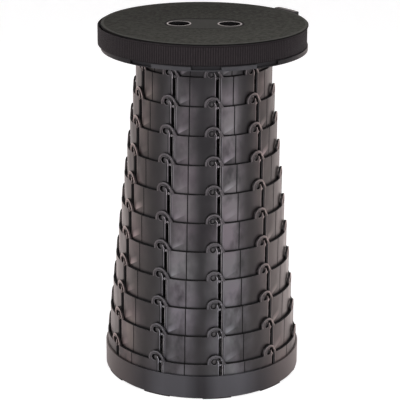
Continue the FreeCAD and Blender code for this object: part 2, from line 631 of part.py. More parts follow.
def make_socket():
    """Buckle socket: a flat box open towards the plug, with a strap eye at its far end."""
    body = new_body("buckle_socket", SEAT_TOP)
    sector(body, "box", buckle_outside(), "Sizes.socket_span", turn="Sizes.buckle_angle")
    room = "Sizes.buckle_height / 2 - Sizes.buckle_wall"
    cavity = strap_band(STRAP_LEVEL + " - (" + room + ")", STRAP_LEVEL + " + " + room,
                        BUCKLE_INNER + " + Sizes.buckle_wall", BUCKLE_OUTER + " - Sizes.buckle_wall")
    sector(body, "cavity", cavity, "Sizes.socket_cavity", "Groove", "Sizes.buckle_angle")
    cut_eye(body, "Sizes.buckle_angle + Sizes.socket_span - Sizes.bar_span - Sizes.eye_span")


def make_plug():
    """Buckle plug: a grip with a strap eye, a middle tongue and two prongs inside the socket."""
    body = new_body("buckle_plug", SEAT_TOP)
    face = "(Sizes.buckle_angle - Sizes.face_gap)"
    sector(body, "grip", buckle_outside(), "Sizes.plug_span", turn=face + " - Sizes.plug_span")
    inner = BUCKLE_INNER + " + Sizes.buckle_wall + Sizes.prong_gap"
    outer = BUCKLE_OUTER + " - Sizes.buckle_wall - Sizes.prong_gap"
    edge = "Sizes.buckle_height / 2 - Sizes.buckle_wall - Sizes.prong_gap"
    span = "Sizes.prong_span + Sizes.face_gap + Sizes.prong_root"
    prongs = [
        ("upper_prong", STRAP_LEVEL + " - (" + edge + ")"),
        ("tongue", STRAP_LEVEL + " - Sizes.prong_width / 2"),
        ("lower_prong", STRAP_LEVEL + " + " + edge + " - Sizes.prong_width"),
    ]
    for name, top in prongs:
        profile = strap_band(top, top + " + Sizes.prong_width", inner, outer)
        sector(body, name, profile, span, turn=face + " - Sizes.prong_root")
    cut_eye(body, face + " - Sizes.plug_span + Sizes.bar_span")


def cut_eye(body, start):
    """Window for the webbing, right through a buckle's end."""
    band = strap_band(STRAP_TOP + " - Sizes.strap_side", STRAP_BOTTOM + " + Sizes.strap_side",
                      BUCKLE_INNER + " - " + MARGIN, BUCKLE_OUTER + " + " + MARGIN)
    sector(body, "eye", band, "Sizes.eye_span", "Groove", start)


def make_all():
    """Every sub-part, from the floor up."""
    make_base()
    for index in range(int(number("Sizes.column_count"))):
        make_foot(index)
    make_ring("base_ring", 0)
    count = int(number("Sizes.ring_count"))
    for steps in range(1, count + 1):
        make_ring("ring_%02d" % (count + 1 - steps), steps)
    make_neck()
    make_shell()
    make_lid()
    make_insert()
    make_bezel("finger_bezel_left", "-")
    make_bezel("finger_bezel_right", "")
    make_screws()
    make_strap()
    make_strap_end()
    make_socket()
    make_plug()


def check_and_write():
    """Refuses anything that failed to build, then writes one file per sub-part."""
    doc.recompute()
    for item in doc.Objects:
        if "Invalid" in item.State or "Error" in item.State:
            raise RuntimeError("%s failed: %s" % (item.Name, item.State))
    os.makedirs("parts", exist_ok=True)
    for body in pieces:
        shape = body.Shape
        if shape.isNull() or not shape.isValid() or not shape.Solids:
            raise RuntimeError("%s has no valid solid" % body.Label)
        shape.exportStep("parts/%s.step" % body.Label)
        box = shape.BoundBox
        report = (body.Label, len(shape.Solids), shape.Volume, box.ZMin, box.ZMax)
        print("%-20s solids %d volume %.0f  z %.2f to %.2f" % report)


make_all()
check_and_write()
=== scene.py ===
"""Looks of the collapsible telescopic stool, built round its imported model.

Metres, +Z up, -Y to the front. Angles round the axis are in radians, from the front towards +X.
"""
import bmesh
import bpy
import math
from mathutils import Matrix, Vector


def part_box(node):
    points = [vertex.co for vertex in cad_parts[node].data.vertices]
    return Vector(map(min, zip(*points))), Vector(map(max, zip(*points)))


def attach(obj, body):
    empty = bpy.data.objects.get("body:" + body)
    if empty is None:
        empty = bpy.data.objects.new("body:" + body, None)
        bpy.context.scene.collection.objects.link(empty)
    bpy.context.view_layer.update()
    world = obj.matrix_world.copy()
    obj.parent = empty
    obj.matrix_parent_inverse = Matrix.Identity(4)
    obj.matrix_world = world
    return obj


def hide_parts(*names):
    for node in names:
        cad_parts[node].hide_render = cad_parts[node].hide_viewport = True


# Shape of the stool, as in the model
COLUMNS = 10
COLUMN_STEP = math.tau / COLUMNS
COLUMN_ANGLE = math.radians(11.1)
RINGS = 10
BASE_RING_RADIUS = 0.1225
RING_STEP = 0.0038
TONGUE_HEIGHT = 0.0128
TONGUE_RADIUS = 0.0100
TONGUE_LEFT = 0.0162
TONGUE_RIGHT = 0.0072
RING_BODY = 0.0406
SLOT_WIDTH = 0.0038
SLOT_START = 0.0095
SEAM_SHIFT = 0.0066
CHANNEL_DEPTH = 0.0007
CHANNEL_RIGHT = 0.0042
POCKET_OFFSET = 0.0079
POCKET_RISE = 0.0042
POCKET_RADIUS = 0.0040
BUTTON_SHIFT = 0.0006
BUTTON_DROP = 0.0016
FINGER_TIP = (-0.0036, 0.0057)
FINGER_ROOT = (-0.0019, 0.0017)
PEG_LEVEL = 0.0042
PEG_RADIUS = 0.0015
PEG_LENGTH = 0.0026
NEST_FLOOR = 0.0044
STAGE_TRAVEL = 0.0355
SEAT_TOP = 0.450
SEAT_DISH = 0.0022
STRAP_INNER = 0.1252
STRAP_THICKNESS = 0.0012
STRAP_SLACK = 0.0049
STRAP_END_INNER = 0.1267
STRAP_START_ANGLE = math.radians(118.85)
STRAP_FOLD_ANGLE = math.radians(133.7)
LAP_START_ANGLE = math.radians(102.65)
LAP_END_ANGLE = math.radians(120.65)
STRAP_LOW = 0.42395
STRAP_HIGH = 0.44775
FLANGE_TOP = 0.4237
FLANGE_RADIUS = 0.1276
GUARD_SPAN = math.radians(28.9)
GRIP_STRAIGHT = 0.0195
GRIP_RADIUS = 0.0285

# Detail that only the looks have
BEAD_WIDTH = 0.0022
BEAD_RISE = 0.00030
BEAD_INSET = 0.0001
BEAD_FOOT = (0.0004, 0.0012)
ARCH_STEPS = 14
RAIL_WIDTH = 0.0014
RAIL_RISE = 0.0009
RAIL_RIGHT = 0.0033
LIP_WIDTH = 0.0007
FINGER_STEM = (-0.0010, -0.0030)
PEG_LIP_RADIUS = PEG_RADIUS * 0.62
PEG_POINTS = 12
BOSS_WALL = 0.0009
BOSS_RISE = 0.00035
POCKET_OPENING = 0.55
POCKET_POINTS = 20
RIB_PITCH = 0.0029
RIB_RISE = 0.00022
SELVEDGE = 0.0006
EDGE_ROUNDING = 0.0004
BUCKLE_ROUNDING = 0.0005

# Painted shade lines and painted highlights on the rings, their places counted rightwards from the middle
# of a slot
SEAM_LINE = 0.0013
SHADE_LEFT = -0.0048
SHADE_LINE = 0.0009
SHADE_RIGHT = 0.0028
HIGHLIGHT_EDGE = 0.0008
STREAK_RISE = 0.0028
STREAK_SLOPE = 0.56

# Lines and patches on the seat
RUBBED_INSIDE = 0.1235
RUBBED_OUTSIDE = 0.1267
DISC_SIDE_RADIUS = 0.12
GUARD_MARGIN = 0.0008
GRIP_LINE = 0.0022

# Light that comes from all round, where 1 is white
AIR_LIGHT = 0.24

# Floor and backdrop, with the pools of light on the floor that the plastic mirrors
FLOOR_SIZE = 6.0
POOL_REACH = 1.5
POOL_STRENGTH = 1.5
BACKDROP_DISTANCE = 2.6
BACKDROP_HEIGHT = 2.6
BACKDROP_START = math.radians(95)
BACKDROP_END = math.radians(265)
BACKDROP_PANELS = 32

# Colours
WHITE = (1, 1, 1, 1)
WARM_WHITE = (1.0, 0.86, 0.83, 1)
# Black of painted shade in gaps, slots and under edges
PAINTED_SHADE_BLACK = (0.003, 0.003, 0.003, 1)
RIM_LIGHT = (1.0, 0.85, 0.81)

# Camera
CAMERA_PLACE = (0.0, -1.8671, 0.83998)
CAMERA_LENS = 138.96
CAMERA_PITCH = math.radians(18.384)
CAMERA_YAW = math.radians(0.115)
CAMERA_ROLL = math.radians(0.45)

# Finish of each piece of the model, by the start of its name
FINISH_OF = {
    "foot_pad": "foot_rubber",
    "base_collar": "collar_plastic",
    "base_ring": "ring_plastic",
    "ring_": "ring_plastic",
    "seat_neck": "ring_plastic",
    "seat_shell": "rim_plastic",
    "seat_lid": "seat_plastic",
    "grip_insert": "insert_plastic",
    "finger_bezel": "bezel_plastic",
    "seat_screws": "screw_steel",
    "strap": "webbing",
    "buckle": "buckle_plastic",
}


def direction(angle):
    """Unit vector on the floor plane at an angle from the front."""
    return Vector((math.sin(angle), -math.cos(angle), 0))


def link_object(name, data):
    """Object of a mesh, lamp or camera, in the scene."""
    thing = bpy.data.objects.new(name, data)
    bpy.context.scene.collection.objects.link(thing)
    return thing


def object_from(name, build, smooth=True):
    """Object whose mesh a function fills in."""
    mesh = bpy.data.meshes.new(name)
    shape = bmesh.new()
    build(shape)
    bmesh.ops.recalc_face_normals(shape, faces=shape.faces)
    shape.to_mesh(mesh)
    shape.free()
    for face in mesh.polygons:
        face.use_smooth = smooth
    return link_object(name, mesh)


# Shader values

class Value:
    """Number, colour or vector that shader nodes work out. Arithmetic on it adds math nodes."""

    def __init__(self, tree, socket):
        self.tree = tree
        self.socket = socket

    def __add__(self, other):
        return math_node("ADD", self, other)

    def __sub__(self, other):
        return math_node("SUBTRACT", self, other)

    def __rsub__(self, other):
        return math_node("SUBTRACT", other, self)

    def __mul__(self, other):
        return math_node("MULTIPLY", self, other)

    def __truediv__(self, other):
        return math_node("DIVIDE", self, other)

    def __abs__(self):
        return math_node("ABSOLUTE", self)


def tree_of(*inputs):
    """Node tree of the first input that is a Value and no constant."""
    return next(value.tree for value in inputs if isinstance(value, Value))


def connect(value, socket):
    """Links a Value to a socket, or sets the socket to a constant."""
    if isinstance(value, Value):
        value.tree.links.new(value.socket, socket)
    else:
        socket.default_value = value


def node(tree, kind, **inputs):
    """Shader node with Values or constants as inputs, spaces in a name written as underscores."""
    made = tree.nodes.new("ShaderNode" + kind)
    for name, value in inputs.items():
        connect(value, made.inputs[name.replace("_", " ")])
    return made


def math_node(operation, first, second=None):
    """Result of a math node on one or two inputs."""
    tree = tree_of(first, second)
    made = tree.nodes.new("ShaderNodeMath")
    made.operation = operation
    connect(first, made.inputs[0])
    if second is not None:
        connect(second, made.inputs[1])
    return Value(tree, made.outputs[0])


def largest(first, *others):
    """Largest of several values."""
    for other in others:
        first = math_node("MAXIMUM", first, other)
    return first


def above(value, limit):
    """Factor that is 1 where a value is above a limit."""
    return math_node("GREATER_THAN", value, limit)


def below(value, limit):
    """Factor that is 1 where a value is below a limit."""
    return math_node("LESS_THAN", value, limit)


def grey(level):
    """Grey colour."""
    return (level, level, level, 1)


def ramp(factor, stops):
    """Grey that follows a factor through (place, grey) stops."""
    made = node(factor.tree, "ValToRGB", Fac=factor)
    made.color_ramp.interpolation = "B_SPLINE" if len(stops) > 3 else "LINEAR"
    elements = made.color_ramp.elements
    while len(elements) < len(stops):
        elements.new(0.5)
    for element, (place, level) in zip(elements, stops):
        element.position = place
        element.color = grey(level)
    return Value(factor.tree, made.outputs["Color"])


def rise(value, start, end):
    """Factor that goes from 0 to 1 between two values."""
    made = node(value.tree, "MapRange", Value=value, From_Min=start, From_Max=end)
    return Value(value.tree, made.outputs["Result"])


def band(value, low, high, soft=0.00012):
    """Factor that is 1 between two values, with soft edges."""
    return rise(value, low - soft, low + soft) * rise(value, high + soft, high - soft)


def mix_colour(factor, first, second, blend="MIX"):
    """Mix of two colours by a factor."""
    tree = tree_of(factor, first, second)
    made = tree.nodes.new("ShaderNodeMix")
    made.data_type = "RGBA"
    made.blend_type = blend
    for value, socket in ((factor, 0), (first, 6), (second, 7)):
        connect(value, made.inputs[socket])
    return Value(tree, made.outputs[2])


def tinted(colour, tint):
    """Colour multiplied by another."""
    return mix_colour(1.0, colour, tint, "MULTIPLY")


def object_place(tree):
    """Object coordinates."""
    return Value(tree, tree.nodes.new("ShaderNodeTexCoord").outputs["Object"])


def surface_normal(tree):
    """Normal of the surface before any bump."""
    return Value(tree, tree.nodes.new("ShaderNodeNewGeometry").outputs["Normal"])


def parts(vector):
    """X, y and z of a vector."""
    made = node(vector.tree, "SeparateXYZ", Vector=vector)
    return tuple(Value(vector.tree, output) for output in made.outputs)


def angle_about_axis(x, y):
    """Angle from the front towards +X."""
    return math_node("ARCTAN2", x, y * -1.0)


def distance_from_axis(x, y):
    """Distance from the stool's axis."""
    return math_node("SQRT", x * x + y * y)


def noise(place, scale, detail=3.0, stretch=None, roughness=0.55):
    """Noise at a place, stretched along some axes."""
    tree = place.tree
    if stretch:
        place = Value(tree, node(tree, "Mapping", Vector=place, Scale=stretch).outputs[0])
    made = node(tree, "TexNoise", Vector=place, Scale=scale, Detail=detail, Roughness=roughness)
    return Value(tree, made.outputs["Fac"])


def bump(height, distance, strength=1.0, normal=None):
    """Normal with a bump, on top of another normal if there is one."""
    made = node(height.tree, "Bump", Strength=strength, Distance=distance, Height=height)
    if normal is not None:
        connect(normal, made.inputs["Normal"])
    return Value(height.tree, made.outputs["Normal"])


def rounded_edges(tree):
    """Normal that rounds sharp edges."""
    made = node(tree, "Bevel", Radius=EDGE_ROUNDING)
    made.samples = 6
    return Value(tree, made.outputs["Normal"])


def edge_highlight(rounded):
    """Factor of the painted highlights on sharp edges: 1 where the rounded normal leaves the flat one."""
    product = rounded.tree.nodes.new("ShaderNodeVectorMath")
    product.operation = "DOT_PRODUCT"
    connect(rounded, product.inputs[0])
    connect(surface_normal(rounded.tree), product.inputs[1])
    return ramp(Value(rounded.tree, product.outputs["Value"]), [(0.90, 1.0), (0.995, 0.0)])


def shade_crevices(colour, reach, low=0.25, high=0.72):
    """Colour darkened with painted shade in gaps and grooves, where light doesn't reach."""
    made = node(colour.tree, "AmbientOcclusion", Distance=reach)
    made.samples = 8
    openness = ramp(Value(colour.tree, made.outputs["AO"]), [(low, 0.0), (high, 1.0)])
    return mix_colour(openness, grey(0.002), colour)


def new_material(name, roughness, specular=0.5):
    """Material with its tree and its principled shader."""
    material = bpy.data.materials.new(name)
    material.use_nodes = True
    tree = material.node_tree
    shader = tree.nodes["Principled BSDF"]
    shader.inputs["Roughness"].default_value = roughness
    shader.inputs["Specular IOR Level"].default_value = specular
    return material, tree, shader


# Patterns on the rings

def place_on_ring(x, y, z):
    """Distance right of the nearest slot, height above the top edge of the ring, and the ring's radius."""
    turns = (angle_about_axis(x, y) - COLUMN_ANGLE) / COLUMN_STEP
    wrapped = math_node("FRACT", turns + (COLUMNS + 0.5)) - 0.5
    radius = distance_from_axis(x, y)
    across = wrapped * COLUMN_STEP * radius
    steps = math_node("FLOOR", (BASE_RING_RADIUS - radius) / RING_STEP + 0.25)
    edge = steps * STAGE_TRAVEL + (NEST_FLOOR + RING_BODY)
    return across, z - edge, radius


def highlight_beside_tongue(across, height):
    """Factor of a slanting painted highlight on the wall, right of the tongue in front of it."""
    slant = (height + (STAGE_TRAVEL + STREAK_RISE)) - across * STREAK_SLOPE
    across_it = rise(slant, 0.0, 0.0010) * rise(slant, 0.0095, 0.0015)
    along_it = rise(across, 0.0055, 0.0085) * rise(across, 0.0235, 0.0100)
    return across_it * along_it


def below_edge(height):
    """Factor that is 1 below the top edge of the ring."""
    return rise(height, 0.0002, -0.0002)


def shade_beside_slots(across, angle):
    """Factor of the painted shade bands left and right of the slots, which widen towards the stool's
    sides.
    """
    left_line = rise(angle, -0.25, -0.40) * band(across, SHADE_LEFT, SHADE_LEFT + SHADE_LINE)
    far_left = rise(angle, -0.75, -0.90) * band(across, SHADE_LEFT, SHADE_RIGHT)
    far_right = rise(angle, 0.70, 0.78) * band(across, -SLOT_WIDTH / 2, CHANNEL_RIGHT)
    return largest(left_line, far_left, far_right)


def painted_shade_lines(across, height, radius, angle):
    """Factor of the painted shade in the lines of seams and slots and in the strip in the shadow of the
    ring outside.
    """
    on_seam = across - (radius * (COLUMN_STEP / 2) - SEAM_SHIFT)
    seam = band(on_seam, -SEAM_LINE / 2, SEAM_LINE / 2)
    cheeks = band(abs(across), SLOT_WIDTH / 2 - 0.0001, SLOT_WIDTH / 2 + 0.0003)
    channel = band(across, RAIL_RIGHT, CHANNEL_RIGHT)
    grooves = below_edge(height) * largest(cheeks, channel, shade_beside_slots(across, angle))
    strip = rise(height, 0.0011 - STAGE_TRAVEL, 0.0006 - STAGE_TRAVEL)
    return largest(seam, grooves, strip)


def painted_highlight_lines(across, height):
    """Factor of the painted highlights on the edges beside the slots."""
    left = band(across, -SLOT_WIDTH / 2 - 0.0004 - HIGHLIGHT_EDGE, -SLOT_WIDTH / 2 - 0.0004)
    right = band(across, CHANNEL_RIGHT + 0.0001, CHANNEL_RIGHT + 0.0001 + HIGHLIGHT_EDGE)
    return below_edge(height) * largest(left, right)


def button_highlight(across, height):
    """Factor of the painted highlight on the middle of the detent button, which shows in the pocket of the
    ring outside.
    """
    sideways = across + (POCKET_OFFSET - BUTTON_SHIFT)
    upward = height - (POCKET_RISE - BUTTON_DROP - STAGE_TRAVEL)
    return rise(distance_from_axis(sideways, upward), 0.0027, 0.0018)


def side_tint(angle, z, colour):
    """Colour tinted violet at the front and back, bluer low down, and warm at the sides."""
    turned = abs(angle)
    sideways = rise(turned, 0.50, 0.85) * rise(turned, 2.20, 1.60)
    front = mix_colour(rise(z, 0.22, 0.10), (1.04, 1.0, 1.06, 1), (0.97, 1.0, 1.09, 1))
    return tinted(colour, mix_colour(sideways, front, (1.20, 0.99, 0.93, 1)))


def painted_light_patches(angle, z):
    """Multiplier of the painted light and shade: weak at both sides and the top, strong right of the
    middle and low down.
    """
    def patch(left, right, low, high):
        """Factor of a patch between two ramps of the angle and between two heights."""
        return rise(angle, *left) * rise(angle, *right) * band(z, low, high, 0.02)
    weak_left = patch((-1.05, -0.85), (-0.45, -0.60), 0.09, 0.37)
    weak_right = patch((0.80, 0.88), (1.20, 1.10), 0.06, 0.39)
    weak = largest(weak_left, weak_right, rise(z, 0.375, 0.395))
    strong_right = patch((0.15, 0.25), (0.58, 0.46), 0.08, 0.36)
    strong_low = patch((-0.38, -0.30), (0.58, 0.46), 0.08, 0.20)
    return (1.0 - weak * 0.72) + largest(strong_right, strong_low) * 0.95


def painted_column_light(place, angle):
    """Factor of the painted light and shade that repeats in every column, a little displaced each time."""
    turns = (angle - COLUMN_ANGLE) / COLUMN_STEP
    phase = math_node("FRACT", turns + float(COLUMNS))
    drift = noise(place, 14.0, 2.0, (1.0, 1.0, 1.6))
    stops = [(0.0, 0.50), (0.28, 1.0), (0.42, 0.80), (0.60, 0.0), (0.76, 0.06), (1.0, 0.50)]
    return ramp(phase + (drift - 0.5) * 0.22, stops)


# Materials

def ring_plastic():
    """Satin black plastic with cloudy painted light and shade that repeats in every column."""
    material, tree, shader = new_material("ring_plastic", 0.34)
    place = object_place(tree)
    x, y, z = parts(place)
    angle = angle_about_axis(x, y)
    across, height, radius = place_on_ring(x, y, z)
    # Painted light and shade in clouds that repeat in every column, weaker at the sides and the top
    clouds = noise(place, 30.0, 4.0, (1.0, 1.0, 0.55))
    tone = painted_column_light(place, angle) * ramp(clouds, [(0.34, 0.12), (0.66, 1.08)]) * painted_light_patches(angle, z)
    colour = mix_colour(tone, (0.009, 0.0085, 0.009, 1), (0.165, 0.158, 0.157, 1))
    # Painted highlights: slanting patches right of the tongues, strongest midway up
    some = ramp(noise(place, 17.0, 1.0), [(0.38, 0.0), (0.55, 1.0)])
    midway = rise(z, 0.06, 0.12) * rise(z, 0.36, 0.28)
    streaks = highlight_beside_tongue(across, height) * some * (midway * 0.55 + 0.35)
    colour = mix_colour(streaks, colour, (0.36, 0.355, 0.36, 1))
    blotches = ramp(noise(place, 24.0, 2.0), [(0.35, 0.0), (0.65, 1.0)])
    colour = tinted(colour, mix_colour(blotches, (1.0, 0.95, 0.98, 1), (0.95, 1.0, 0.95, 1)))
    # Painted highlights on the edges beside the slots
    colour = mix_colour(painted_highlight_lines(across, height) * 0.7, colour, (0.22, 0.215, 0.215, 1))
    colour = side_tint(angle, z, colour)
    rounded = rounded_edges(tree)
    # Painted highlight on sharp edges, such as the flanks of the seams
    colour = mix_colour(edge_highlight(rounded) * 0.7, colour, (0.19, 0.185, 0.185, 1))
    # Painted shade: upper faces and dark lines are black and rough, and gaps are darkened
    facing_up = ramp(parts(surface_normal(tree))[2], [(0.45, 0.0), (0.75, 1.0)])
    shade_mask = largest(facing_up, painted_shade_lines(across, height, radius, angle))
    colour = shade_crevices(mix_colour(shade_mask, colour, PAINTED_SHADE_BLACK), 0.005, 0.45, 0.80)
    # Painted highlight on the detent button in the pocket
    colour = mix_colour(button_highlight(across, height) * 0.6, colour, (0.13, 0.127, 0.125, 1))
    connect(colour, shader.inputs["Base Color"])
    shine = ramp(clouds, [(0.25, 0.27), (0.75, 0.43)])
    connect(mix_colour(shade_mask, shine, grey(0.9)), shader.inputs["Roughness"])
    warped = bump(noise(place, 46.0, 1.0, (1.0, 1.0, 0.6)), 0.0022, 0.5, rounded)
    connect(bump(noise(place, 420.0, 2.0), 0.00004, 0.6, warped), shader.inputs["Normal"])
    return material


def collar_plastic():
    """Satin black plastic of the base, smooth, with a few broad clouds."""
    material, tree, shader = new_material("collar_plastic", 0.36)
    place = object_place(tree)
    x, y, z = parts(place)
    clouds = noise(place, 11.0, 2.0, (1.0, 1.0, 0.4))
    streaks = noise(place, 90.0, 3.0, (1.0, 1.0, 0.15))
    tone = ramp(clouds, [(0.38, 0.0), (0.62, 1.0)]) * ramp(streaks, [(0.2, 0.7), (0.8, 1.0)])
    colour = mix_colour(tone, (0.007, 0.007, 0.009, 1), (0.040, 0.040, 0.043, 1))
    angle = angle_about_axis(x, y)
    # Painted highlights: lobes either side of the front and a lighter band towards the sides
    off_front = abs(angle)
    highlight_lobes = rise(off_front, 0.03, 0.17) * rise(off_front, 0.62, 0.40)
    colour = mix_colour(highlight_lobes * 0.42, colour, grey(0.12))
    colour = mix_colour(rise(off_front, 0.60, 1.30) * 0.55, colour, grey(0.13))
    colour = side_tint(angle, z, colour)
    rounded = rounded_edges(tree)
    # Painted highlight on sharp edges
    colour = mix_colour(edge_highlight(rounded) * 0.5, colour, (0.14, 0.135, 0.135, 1))
    # Painted shade in gaps and grooves
    connect(shade_crevices(colour, 0.005), shader.inputs["Base Color"])
    warped = bump(clouds, 0.003, 0.4, rounded)
    connect(bump(noise(place, 420.0, 2.0), 0.00004, 0.6, warped), shader.inputs["Normal"])
    return material


def trim_plastic():
    """The same plastic on the beads, with painted highlights beside the slots, on the arches at the sides
    and on the rails, and painted shade that makes the rails black at the sides.
    """
    material, tree, shader = new_material("trim_plastic", 0.36)
    place = object_place(tree)
    x, y, z = parts(place)
    angle = angle_about_axis(x, y)
    across, height = place_on_ring(x, y, z)[:2]
    colour = mix_colour(noise(place, 120.0, 3.0), (0.045, 0.043, 0.043, 1), (0.125, 0.120, 0.118, 1))
    # Painted highlight on the finger beside the top of each slot
    lightened = band(across, -0.0043, 0.0017) * band(height, -0.0036, 0.0066)
    colour = mix_colour(lightened * 0.9, colour, (0.42, 0.41, 0.40, 1))
    beside = rise(abs(angle), 0.70, 0.90)
    # Painted highlight on the tongue arches towards the stool's sides
    arch_highlight = beside * rise(height, 0.0010, 0.0040)
    colour = mix_colour(arch_highlight * 0.6, colour, (0.38, 0.36, 0.35, 1))
    colour = side_tint(angle, z, colour)
    # Painted highlight on the rails, with painted shade that makes them black and rough at the sides
    rail = band(across, SLOT_WIDTH / 2, CHANNEL_RIGHT) * rise(height, 0.0003, 0.0)
    colour = mix_colour(rail, colour, (0.16, 0.155, 0.155, 1))
    shaded_rail = rail * beside
    connect(mix_colour(shaded_rail, colour, PAINTED_SHADE_BLACK), shader.inputs["Base Color"])
    connect(mix_colour(shaded_rail, grey(0.36), WHITE), shader.inputs["Roughness"])
    connect(bump(noise(place, 500.0, 2.0), 0.00004, 0.5), shader.inputs["Normal"])
    return material


def rim_plastic():
    """Near black satin plastic of the seat's shell, lighter on the flange at the front, with painted shade
    in gaps.
    """
    material, tree, shader = new_material("rim_plastic", 0.5, 0.25)
    place = object_place(tree)
    x, y, z = parts(place)
    clouds = noise(place, 60.0, 3.0)
    colour = mix_colour(clouds, (0.008, 0.008, 0.009, 1), (0.018, 0.018, 0.020, 1))
    # Lighter colour for the flange at the front
    lighter_front = mix_colour(clouds, (0.036, 0.037, 0.040, 1), (0.062, 0.063, 0.067, 1))
    at_front = below(abs(angle_about_axis(x, y)), GUARD_SPAN)
    outside = above(distance_from_axis(x, y), FLANGE_RADIUS - GUARD_MARGIN)
    guard = at_front * outside * below(z, FLANGE_TOP - GUARD_MARGIN)
    # Painted shade in gaps and grooves
    connect(shade_crevices(mix_colour(guard, colour, lighter_front), 0.004), shader.inputs["Base Color"])
    connect(bump(noise(place, 600.0, 2.0), 0.00005, 0.6, rounded_edges(tree)), shader.inputs["Normal"])
    return material


def grip_outline(x, y):
    """Factor of the shadow line where the grip insert meets the disc."""
    past = math_node("MAXIMUM", abs(x) - GRIP_STRAIGHT, 0.0)
    radius = distance_from_axis(past, y)
    return band(radius, GRIP_RADIUS - GRIP_LINE / 2, GRIP_RADIUS + GRIP_LINE / 2, 0.0004)


def seat_plastic():
    """Fine stippled dark grey-green plastic."""
    material, tree, shader = new_material("seat_plastic", 0.88, 0.12)
    place = object_place(tree)
    x, y, z = parts(place)
    radius = distance_from_axis(x, y)
    grain = noise(place, 520.0, 3.0, None, 0.7)
    colour = mix_colour(grain, (0.029, 0.030, 0.025, 1), (0.070, 0.071, 0.061, 1))
    colour = mix_colour(noise(place, 9.0, 2.0) * 0.5, colour, (0.040, 0.041, 0.034, 1))
    colour = tinted(colour, ramp(noise(place, 210.0, 2.0), [(0.35, 0.62), (0.65, 1.30)]))
    nearness = rise(x * 0.5 - y, -0.10, 0.11)
    colour = mix_colour(nearness, tinted(colour, grey(0.58)), colour)
    lightened = band(radius, RUBBED_INSIDE, RUBBED_OUTSIDE, 0.0004)
    colour = mix_colour(lightened * 0.35, colour, (0.13, 0.13, 0.12, 1))
    # Painted shade on the disc's side: black just below the top, dark further down
    side = above(radius, DISC_SIDE_RADIUS)
    shadow = side * rise(z, SEAT_TOP - 0.0001, SEAT_TOP - 0.0004)
    colour = mix_colour(shadow, colour, PAINTED_SHADE_BLACK)
    lower_side = side * rise(z, SEAT_TOP - 0.0014, SEAT_TOP - 0.0017)
    colour = mix_colour(lower_side, colour, (0.030, 0.027, 0.028, 1))
    colour = mix_colour(grip_outline(x, y), colour, grey(0.006))
    connect(colour, shader.inputs["Base Color"])
    stipple = node(tree, "TexVoronoi", Vector=place, Scale=950.0, Randomness=0.9)
    dots = ramp(Value(tree, stipple.outputs["Distance"]), [(0.15, 1.0), (0.75, 0.0)])
    grained = bump(grain, 0.0002, 0.7, rounded_edges(tree))
    connect(bump(dots, 0.00012, 0.8, grained), shader.inputs["Normal"])
    return material


def insert_plastic():
    """Smooth satin plastic of the grip insert."""
    material, tree, shader = new_material("insert_plastic", 0.8, 0.12)
    place = object_place(tree)
    x, y = parts(place)[:2]
    grain = noise(place, 300.0, 2.0)
    colour = mix_colour(grain, (0.028, 0.029, 0.026, 1), (0.048, 0.049, 0.044, 1))
    connect(mix_colour(grip_outline(x, y), colour, grey(0.006)), shader.inputs["Base Color"])
    connect(bump(grain, 0.00005, 0.5, rounded_edges(tree)), shader.inputs["Normal"])
    return material


def bezel_plastic():
    """Glossier plastic of the sleeves in the finger holes, rubbed light on the lip."""
    material, tree, shader = new_material("bezel_plastic", 0.22)
    lip_height = 0.0012
    above_lip_foot = parts(object_place(tree))[2] - (SEAT_TOP - SEAT_DISH - lip_height)
    lip = ramp(above_lip_foot, [(0.0, 0.0), (lip_height, 1.0)])
    connect(mix_colour(lip, grey(0.012), (0.075, 0.078, 0.072, 1)), shader.inputs["Base Color"])
    connect(rounded_edges(tree), shader.inputs["Normal"])
    return material


def webbing():
    """Woven webbing: fine crossing yarns on the modelled ribs."""
    material, tree, shader = new_material("webbing", 0.85, 0.12)
    yarn_across = 0.0008
    yarn_along = 0.0010
    place = object_place(tree)
    x, y, z = parts(place)
    yarns = math_node("SINE", angle_about_axis(x, y) * (math.tau * STRAP_INNER / yarn_across))
    rows = math_node("SINE", z * (math.tau / yarn_along))
    fibres = noise(place, 700.0, 3.0, (1.0, 1.0, 0.35))
    rib = tree.nodes.new("ShaderNodeAttribute")
    rib.attribute_name = "rib"
    ribbed = Value(tree, rib.outputs["Fac"]) * band(z, STRAP_LOW + 0.0010, STRAP_HIGH - 0.0017, 0.0002)
    selvedge = rise(z, STRAP_HIGH - 0.0013, STRAP_HIGH - 0.0009) * 0.6
    # Painted shade: sunk yarns between the ribs and along the bottom edge are darker than the raised ribs
    sunk = mix_colour(fibres, (0.007, 0.006, 0.0065, 1), (0.014, 0.0115, 0.012, 1))
    raised = mix_colour(fibres, (0.020, 0.017, 0.018, 1), (0.047, 0.040, 0.042, 1))
    connect(mix_colour(largest(ribbed, selvedge), sunk, raised), shader.inputs["Base Color"])
    shader.inputs["Sheen Weight"].default_value = 0.06
    shader.inputs["Sheen Roughness"].default_value = 0.5
    woven = bump(yarns * rows, 0.00010, 0.6)
    connect(bump(fibres, 0.00012, 0.6, woven), shader.inputs["Normal"])
    return material


def buckle_plastic():
    """Satin black plastic of the side-release buckle."""
    material, tree, shader = new_material("buckle_plastic", 0.40, 0.2)
    place = object_place(tree)
    colour = mix_colour(noise(place, 90.0, 2.0), (0.010, 0.010, 0.011, 1), (0.020, 0.020, 0.021, 1))
    connect(colour, shader.inputs["Base Color"])
    connect(bump(noise(place, 500.0, 2.0), 0.00004, 0.5), shader.inputs["Normal"])
    return material


def screw_steel():
    """Zinc-plated steel."""
    material, tree, shader = new_material("screw_steel", 0.3)
    shader.inputs["Metallic"].default_value = 1.0
    brushed = noise(object_place(tree), 900.0, 2.0, (1.0, 1.0, 0.1))
    colour = mix_colour(brushed, (0.45, 0.45, 0.46, 1), (0.62, 0.62, 0.63, 1))
    connect(colour, shader.inputs["Base Color"])
    connect(rounded_edges(tree), shader.inputs["Normal"])
    return material


